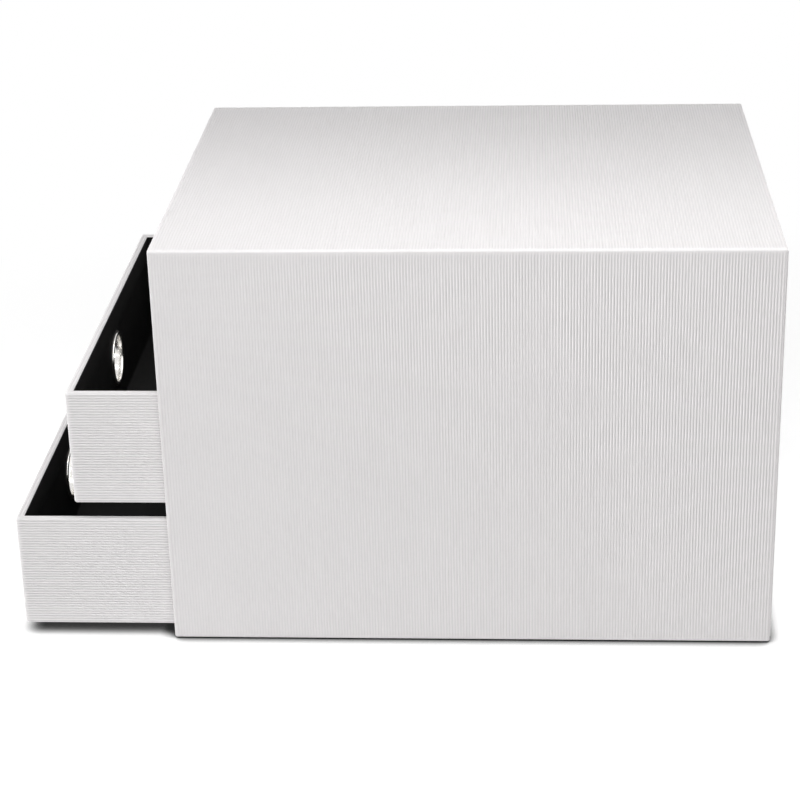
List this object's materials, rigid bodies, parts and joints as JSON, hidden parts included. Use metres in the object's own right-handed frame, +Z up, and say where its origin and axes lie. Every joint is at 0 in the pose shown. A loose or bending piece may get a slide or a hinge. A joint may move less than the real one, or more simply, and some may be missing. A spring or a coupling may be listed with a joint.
{
  "type": "file box with drawer",
  "caption": "Paper-covered rigid board box whose flat black-lined drawers slide out of one end by metal-ringed finger holes.",
  "frame": {"origin": "middle of the casing's base, on the table", "axes": "+Z up, the drawers open towards -Y, +X is the side that the picture shows"},
  "size_m": [0.26, 0.4225, 0.235],
  "materials": {
    "grey_board": "dense grey board, matte, seen nowhere once wrapped",
    "ribbed_white_paper": "white cover paper with fine embossed ribs, matte",
    "plain_white_paper": "smooth white paper, matte",
    "black_lining_paper": "black lining paper with a faint sheen",
    "nickel_plate": "bright nickel-plated steel"
  },
  "bodies": {
    "casing": {"casing_base_board": "grey_board", "casing_top_board": "grey_board", "casing_left_board": "grey_board", "casing_right_board": "grey_board", "casing_back_board": "grey_board", "lower_shelf_board": "grey_board", "upper_shelf_board": "grey_board", "casing_wrap_paper": "ribbed_white_paper", "casing_back_paper": "plain_white_paper", "casing_base_paper": "plain_white_paper", "lower_shelf_paper": "ribbed_white_paper", "upper_shelf_paper": "ribbed_white_paper", "bottom_bay_lining": "black_lining_paper", "middle_bay_lining": "black_lining_paper", "top_bay_lining": "black_lining_paper"},
    "bottom_drawer": {"bottom_drawer_front_board": "grey_board", "bottom_drawer_back_board": "grey_board", "bottom_drawer_left_board": "grey_board", "bottom_drawer_right_board": "grey_board", "bottom_drawer_base_board": "grey_board", "bottom_drawer_wrap_paper": "ribbed_white_paper", "bottom_drawer_base_paper": "plain_white_paper", "bottom_drawer_lining": "black_lining_paper", "bottom_drawer_eyelet": "nickel_plate", "bottom_drawer_eyelet_washer": "nickel_plate"},
    "middle_drawer": {"middle_drawer_front_board": "grey_board", "middle_drawer_back_board": "grey_board", "middle_drawer_left_board": "grey_board", "middle_drawer_right_board": "grey_board", "middle_drawer_base_board": "grey_board", "middle_drawer_wrap_paper": "ribbed_white_paper", "middle_drawer_base_paper": "plain_white_paper", "middle_drawer_lining": "black_lining_paper", "middle_drawer_eyelet": "nickel_plate", "middle_drawer_eyelet_washer": "nickel_plate"},
    "top_drawer": {"top_drawer_front_board": "grey_board", "top_drawer_back_board": "grey_board", "top_drawer_left_board": "grey_board", "top_drawer_right_board": "grey_board", "top_drawer_base_board": "grey_board", "top_drawer_wrap_paper": "ribbed_white_paper", "top_drawer_base_paper": "plain_white_paper", "top_drawer_lining": "black_lining_paper", "top_drawer_eyelet": "nickel_plate", "top_drawer_eyelet_washer": "nickel_plate"}
  },
  "joints": [
    {"name": "bottom_drawer_slide", "type": "slide", "parent": "casing", "child": "bottom_drawer", "axis": [0, -1, 0], "range_m": [-0.0872, 0.2478]},
    {"name": "middle_drawer_slide", "type": "slide", "parent": "casing", "child": "middle_drawer", "axis": [0, -1, 0], "range_m": [-0.0529, 0.2821]},
    {"name": "top_drawer_slide", "type": "slide", "parent": "casing", "child": "top_drawer", "axis": [0, -1, 0], "range_m": [0, 0.335]}
  ]
}
